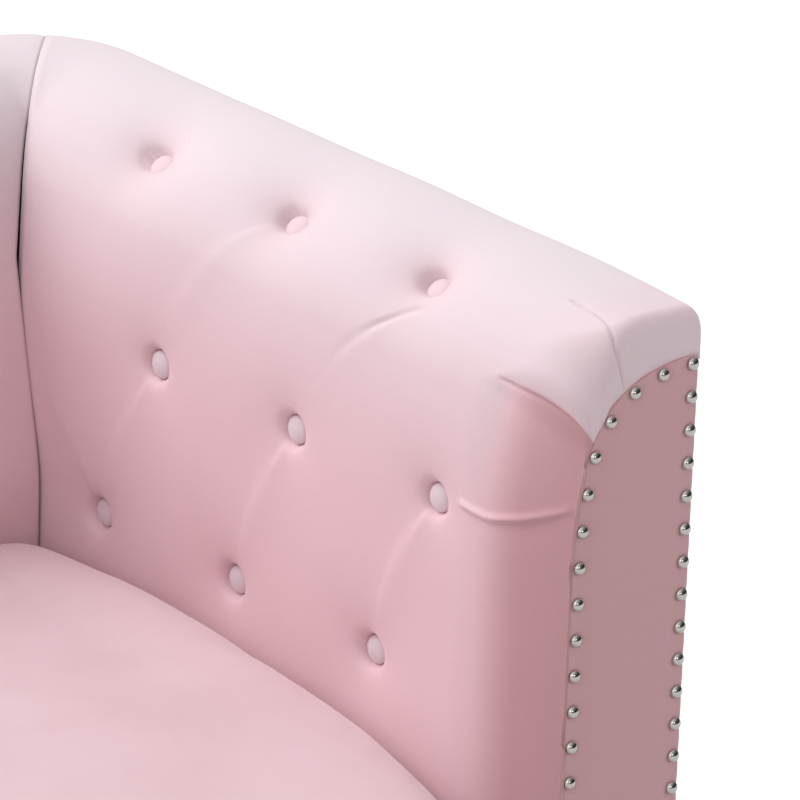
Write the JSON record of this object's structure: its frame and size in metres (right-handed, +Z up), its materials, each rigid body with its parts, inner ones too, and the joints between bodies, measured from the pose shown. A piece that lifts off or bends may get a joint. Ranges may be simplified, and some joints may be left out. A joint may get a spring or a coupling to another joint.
{
  "type": "tufted loveseat",
  "caption": "Button-tufted velvet loveseat with arms level with the back, nailed arm fronts, loose seat cushions and tapered wooden legs.",
  "frame": {"origin": "on the floor under the middle of the object", "axes": "+Z up, +X to the viewer's right along the seat, the front faces -Y"},
  "size_m": [1.372, 0.7472, 0.814],
  "materials": {
    "velvet": "matte",
    "foam": "matte",
    "frame_wood": "matte",
    "leg_wood": "satin",
    "fibreboard": "matte",
    "steel": "satin",
    "spring_steel": "satin",
    "nickel": "polished",
    "glide_plastic": "matte",
    "clip_plastic": "matte",
    "lining": "matte",
    "webbing": "matte",
    "twine": "matte",
    "zip_tape": "matte",
    "zip_metal": "satin"
  },
  "bodies": {
    "seat_frame": {"front_rail": "frame_wood", "rear_rail": "frame_wood", "side_rails": "frame_wood", "centre_brace": "frame_wood", "corner_blocks": "frame_wood", "front_posts": "frame_wood", "rear_posts": "frame_wood", "back_centre_post": "frame_wood", "back_top_rail": "frame_wood", "back_tack_rail": "frame_wood", "arm_top_rails": "frame_wood", "arm_tack_rails": "frame_wood", "arm_liners": "fibreboard", "back_liner": "fibreboard", "arm_facing_boards": "frame_wood", "arm_foams": "foam", "arm_buttons": "velvet", "outer_arm_boards": "fibreboard", "outer_back_board": "fibreboard", "outside_back_cover": "velvet", "frame_dowels": "frame_wood", "block_screws": "steel", "leg_plates": "steel", "leg_bolts": "steel", "leg_glides": "glide_plastic", "seat_springs": "spring_steel", "spring_clips": "clip_plastic", "stay_wires": "spring_steel", "deck_cloth": "lining", "deck_pad": "foam", "deck_cover": "lining", "back_webbing": "webbing", "back_cover": "velvet", "back_foam": "foam", "back_buttons": "velvet", "button_ties": "twine", "front_border_pad": "foam", "front_border_cover": "velvet", "dust_cover": "lining", "leg_front_left": "leg_wood", "leg_front_right": "leg_wood", "leg_rear_left": "leg_wood", "leg_rear_right": "leg_wood", "arm_facing_cover_left": "velvet", "arm_cover_left": "velvet", "arm_nails_left": "nickel", "outside_arm_cover_left": "velvet", "arm_facing_cover_right": "velvet", "arm_cover_right": "velvet", "arm_nails_right": "nickel", "outside_arm_cover_right": "velvet"},
    "seat_cushion_right": {"seat_cushion_cover_right": "velvet", "seat_cushion_foam_right": "foam", "seat_cushion_zip_right": "zip_tape"},
    "zip_slider_right": {"zip_slider_right": "zip_metal"},
    "seat_cushion_left": {"seat_cushion_cover_left": "velvet", "seat_cushion_foam_left": "foam", "seat_cushion_zip_left": "zip_tape"},
    "zip_slider_left": {"zip_slider_left": "zip_metal"}
  },
  "joints": [
    {"name": "seat_cushion_right_lift", "type": "slide", "parent": "seat_frame", "child": "seat_cushion_right", "axis": [0, 0, 1], "range_m": [0, 0.52]},
    {"name": "zip_right_slide", "type": "slide", "parent": "seat_cushion_right", "child": "zip_slider_right", "axis": [-1, 0, 0], "range_m": [0, 0.397]},
    {"name": "seat_cushion_left_lift", "type": "slide", "parent": "seat_frame", "child": "seat_cushion_left", "axis": [0, 0, 1], "range_m": [0, 0.52]},
    {"name": "zip_left_slide", "type": "slide", "parent": "seat_cushion_left", "child": "zip_slider_left", "axis": [1, 0, 0], "range_m": [0, 0.397]}
  ]
}
